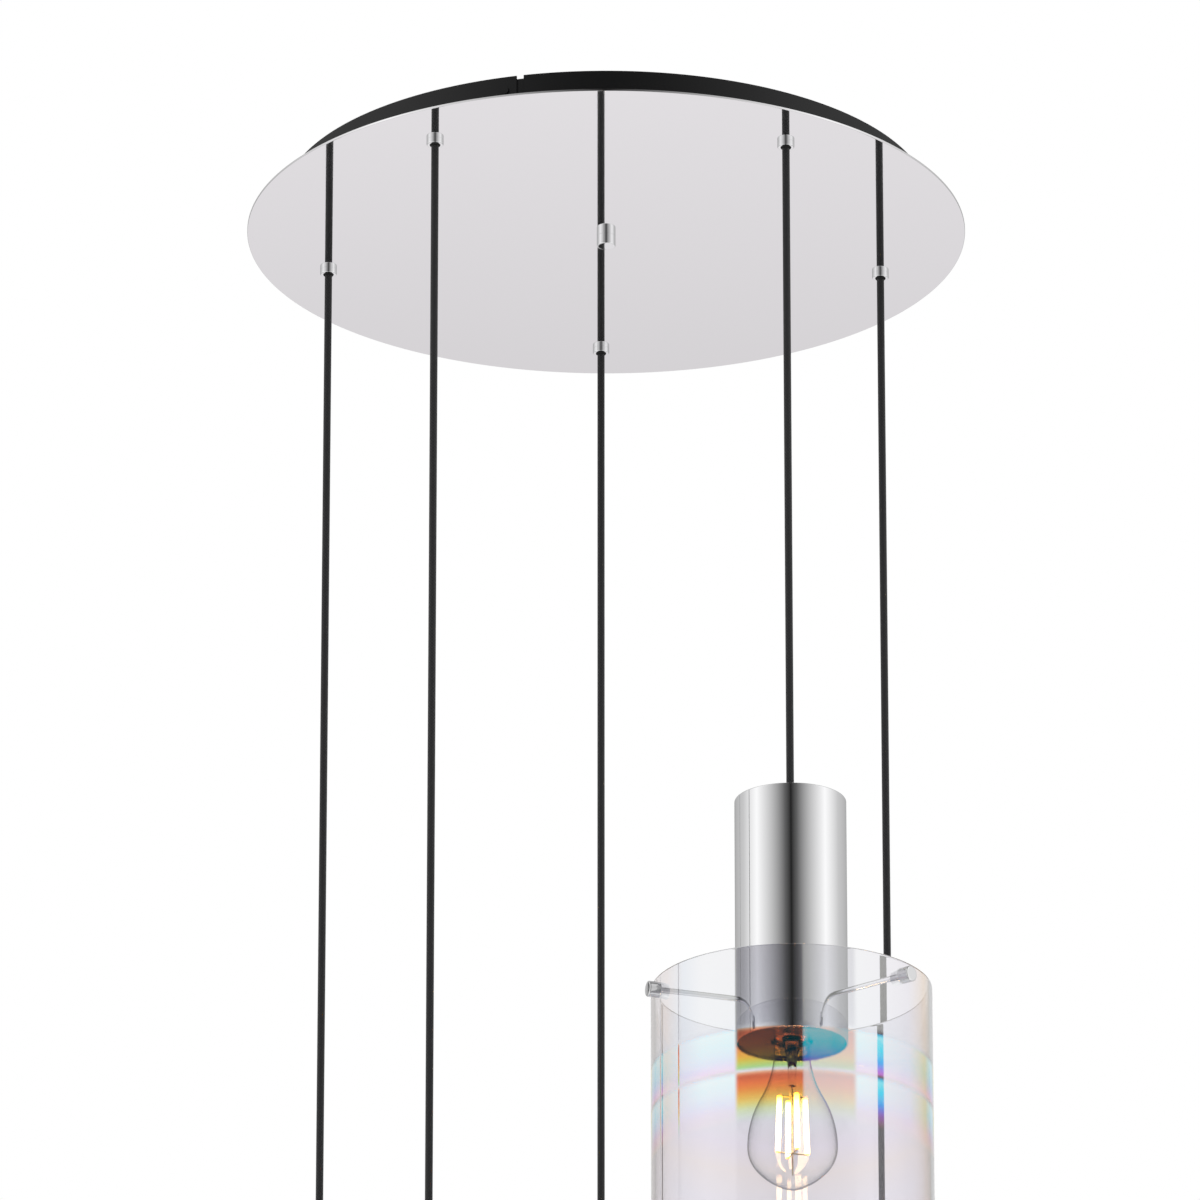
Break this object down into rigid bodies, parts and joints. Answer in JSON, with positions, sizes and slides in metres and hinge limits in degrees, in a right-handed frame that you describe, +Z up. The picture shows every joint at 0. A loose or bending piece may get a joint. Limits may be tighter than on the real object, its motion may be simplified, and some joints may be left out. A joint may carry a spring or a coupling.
{
  "type": "cluster pendant light",
  "caption": "Round mirror canopy with glass cylinder pendants that hang on straight fabric cords at stepped heights.",
  "frame": {"origin": "middle of the ceiling face, on top of the ceiling bracket", "axes": "+Z up towards the ceiling, +X to the right in the picture, +Y away from the viewer"},
  "size_m": [0.6196, 0.6056, 1.4805],
  "materials": {
    "chrome_polished": "mirror polished",
    "zinc_steel": "zinc plated",
    "black_paint": "satin black",
    "white_plastic": "moulded",
    "black_phenolic": "moulded",
    "black_rubber": "matt",
    "black_fabric": "braided",
    "coated_glass": "clear, with a colour-shifting coating that fades downwards",
    "clear_glass": "clear",
    "bulb_metal": "plated"
  },
  "bodies": {
    "canopy": {"ceiling_bracket": "zinc_steel", "terminal_block": "white_plastic", "canopy_band": "black_paint", "band_joint_plate": "black_paint", "band_screw": "zinc_steel", "face_plate": "chrome_polished", "cord_grips": "chrome_polished", "grip_grommets": "black_rubber", "grip_nuts": "zinc_steel"},
    "knob": {"centre_knob": "chrome_polished"},
    "cord_1": {"cord_1": "black_fabric"},
    "pendant_1": {"holder_cup_1": "chrome_polished", "cord_clamp_1": "chrome_polished", "closing_pan_1": "chrome_polished", "lampholder_1": "black_phenolic", "holder_screws_1": "zinc_steel", "shade_screws_1": "chrome_polished", "glass_shade_1": "coated_glass"},
    "bulb_1": {"bulb_glass_1": "clear_glass", "bulb_core_1": "bulb_metal"},
    "cord_2": {"cord_2": "black_fabric"},
    "pendant_2": {"holder_cup_2": "chrome_polished", "cord_clamp_2": "chrome_polished", "closing_pan_2": "chrome_polished", "lampholder_2": "black_phenolic", "holder_screws_2": "zinc_steel", "shade_screws_2": "chrome_polished", "glass_shade_2": "coated_glass"},
    "bulb_2": {"bulb_glass_2": "clear_glass", "bulb_core_2": "bulb_metal"},
    "cord_3": {"cord_3": "black_fabric"},
    "pendant_3": {"holder_cup_3": "chrome_polished", "cord_clamp_3": "chrome_polished", "closing_pan_3": "chrome_polished", "lampholder_3": "black_phenolic", "holder_screws_3": "zinc_steel", "shade_screws_3": "chrome_polished", "glass_shade_3": "coated_glass"},
    "bulb_3": {"bulb_glass_3": "clear_glass", "bulb_core_3": "bulb_metal"},
    "cord_4": {"cord_4": "black_fabric"},
    "pendant_4": {"holder_cup_4": "chrome_polished", "cord_clamp_4": "chrome_polished", "closing_pan_4": "chrome_polished", "lampholder_4": "black_phenolic", "holder_screws_4": "zinc_steel", "shade_screws_4": "chrome_polished", "glass_shade_4": "coated_glass"},
    "bulb_4": {"bulb_glass_4": "clear_glass", "bulb_core_4": "bulb_metal"},
    "cord_5": {"cord_5": "black_fabric"},
    "pendant_5": {"holder_cup_5": "chrome_polished", "cord_clamp_5": "chrome_polished", "closing_pan_5": "chrome_polished", "lampholder_5": "black_phenolic", "holder_screws_5": "zinc_steel", "shade_screws_5": "chrome_polished", "glass_shade_5": "coated_glass"},
    "bulb_5": {"bulb_glass_5": "clear_glass", "bulb_core_5": "bulb_metal"}
  },
  "joints": [
    {"name": "knob_turn", "type": "hinge", "parent": "canopy", "child": "knob", "pos_m": [0, 0, -0.028], "axis": [0, 0, 1], "continuous": true},
    {"name": "swing_1", "type": "hinge", "parent": "canopy", "child": "cord_1", "pos_m": [0.13144, -0.17442, -0.0296], "axis": [0.7986, 0.6018, 0], "range_deg": [-2.8, 2.8]},
    {"name": "height_1", "type": "slide", "parent": "cord_1", "child": "pendant_1", "axis": [0, 0, 1], "range_m": [0, 0.25], "deforming": ["cord_1"]},
    {"name": "bulb_turn_1", "type": "hinge", "parent": "pendant_1", "child": "bulb_1", "pos_m": [0.13144, -0.17442, -0.7255], "axis": [0, 0, 1], "continuous": true},
    {"name": "swing_2", "type": "hinge", "parent": "canopy", "child": "cord_2", "pos_m": [0.2065, 0.0711, -0.0296], "axis": [-0.3256, 0.9455, 0], "range_deg": [-2.2, 2.2]},
    {"name": "height_2", "type": "slide", "parent": "cord_2", "child": "pendant_2", "axis": [0, 0, 1], "range_m": [0, 0.25], "deforming": ["cord_2"]},
    {"name": "bulb_turn_2", "type": "hinge", "parent": "pendant_2", "child": "bulb_2", "pos_m": [0.2065, 0.0711, -0.9715], "axis": [0, 0, 1], "continuous": true},
    {"name": "swing_3", "type": "hinge", "parent": "canopy", "child": "cord_3", "pos_m": [-0.00381, 0.21837, -0.0296], "axis": [-0.9998, -0.0175, 0], "range_deg": [-2, 2]},
    {"name": "height_3", "type": "slide", "parent": "cord_3", "child": "pendant_3", "axis": [0, 0, 1], "range_m": [0, 0.25], "deforming": ["cord_3"]},
    {"name": "bulb_turn_3", "type": "hinge", "parent": "pendant_3", "child": "bulb_3", "pos_m": [-0.00381, 0.21837, -1.0715], "axis": [0, 0, 1], "continuous": true},
    {"name": "swing_4", "type": "hinge", "parent": "canopy", "child": "cord_4", "pos_m": [-0.20886, 0.06385, -0.0296], "axis": [-0.2924, -0.9563, 0], "range_deg": [-1.9, 1.9]},
    {"name": "height_4", "type": "slide", "parent": "cord_4", "child": "pendant_4", "axis": [0, 0, 1], "range_m": [0, 0.25], "deforming": ["cord_4"]},
    {"name": "bulb_turn_4", "type": "hinge", "parent": "pendant_4", "child": "bulb_4", "pos_m": [-0.20886, 0.06385, -1.1715], "axis": [0, 0, 1], "continuous": true},
    {"name": "swing_5", "type": "hinge", "parent": "canopy", "child": "cord_5", "pos_m": [-0.12527, -0.1789, -0.0296], "axis": [0.8192, -0.5736, 0], "range_deg": [-1.7, 1.7]},
    {"name": "height_5", "type": "slide", "parent": "cord_5", "child": "pendant_5", "axis": [0, 0, 1], "range_m": [0, 0.25], "deforming": ["cord_5"]},
    {"name": "bulb_turn_5", "type": "hinge", "parent": "pendant_5", "child": "bulb_5", "pos_m": [-0.12527, -0.1789, -1.2715], "axis": [0, 0, 1], "continuous": true}
  ]
}
